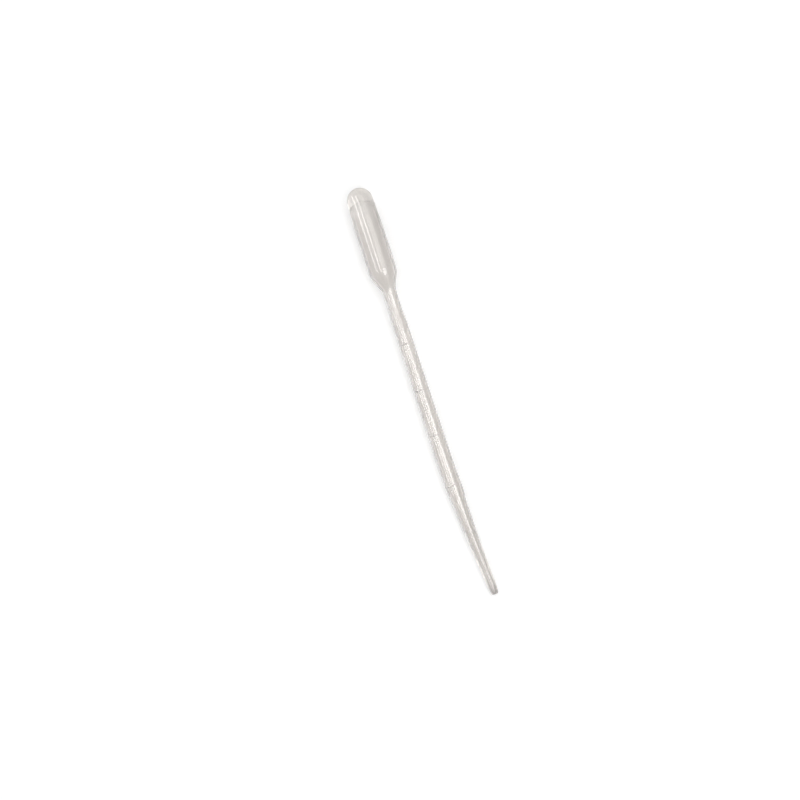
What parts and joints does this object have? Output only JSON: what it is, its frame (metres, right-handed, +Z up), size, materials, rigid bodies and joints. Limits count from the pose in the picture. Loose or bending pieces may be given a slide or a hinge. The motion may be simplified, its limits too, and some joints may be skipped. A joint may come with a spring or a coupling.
{
  "type": "dropper pipette",
  "caption": "One-piece soft plastic dropper pipette lying on its side: closed squeeze bulb, waisted neck, long stem with raised volume marks, a step and an open drawn-down tip.",
  "frame": {"origin": "middle of the footprint, on the surface that the pipette lies on", "axes": "+X from the bulb's closed end to the open tip, +Y the side that the tip bows towards, +Z up; the raised marks face up and towards -Y"},
  "size_m": [0.15, 0.01, 0.0103],
  "materials": {
    "clear_soft_plastic": "natural translucent low-density polyethylene, satin outside, slightly milky"
  },
  "bodies": {
    "root": {"pipette": "clear_soft_plastic"}
  },
  "joints": []
}
